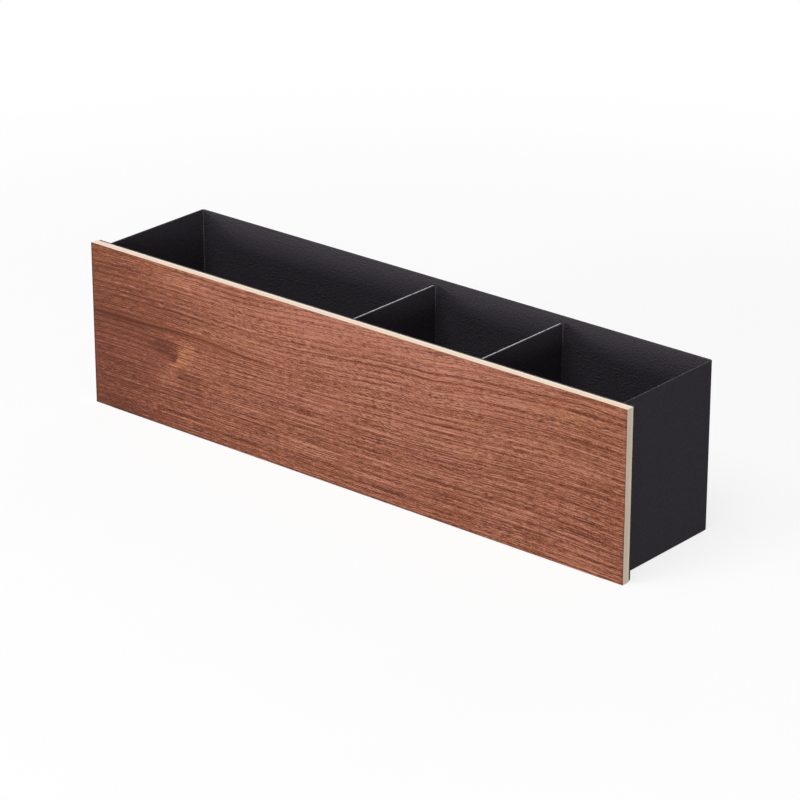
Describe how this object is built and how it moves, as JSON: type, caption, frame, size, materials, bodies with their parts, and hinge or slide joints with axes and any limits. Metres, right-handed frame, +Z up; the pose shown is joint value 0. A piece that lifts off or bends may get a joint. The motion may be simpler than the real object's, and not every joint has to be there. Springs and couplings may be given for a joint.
{
  "type": "pen tray",
  "caption": "Desk pen tray: an open black powder-coated steel trough with fixed dividers, behind a flat walnut-veneered plywood front panel.",
  "frame": {"origin": "centre of the footprint, on the surface that the tray stands on", "axes": "+X along the tray to the right as seen from the front, +Y from the wooden front to the back wall, +Z up"},
  "size_m": [0.272, 0.0606, 0.07],
  "materials": {
    "powder_coated_steel": "fine-textured matt black powder coat",
    "walnut": "open-pored walnut veneer, matt lacquer",
    "pale_ply": "sanded bare edge",
    "core_ply": "sanded bare end grain",
    "tape": "double-sided foam tape"
  },
  "bodies": {
    "root": {"wall_band": "powder_coated_steel", "floor_plate": "powder_coated_steel", "front_plate": "powder_coated_steel", "left_divider": "powder_coated_steel", "right_divider": "powder_coated_steel", "mounting_tapes": "tape", "back_ply": "pale_ply", "core_ply": "core_ply", "front_ply": "pale_ply", "walnut_veneer": "walnut"}
  },
  "joints": []
}
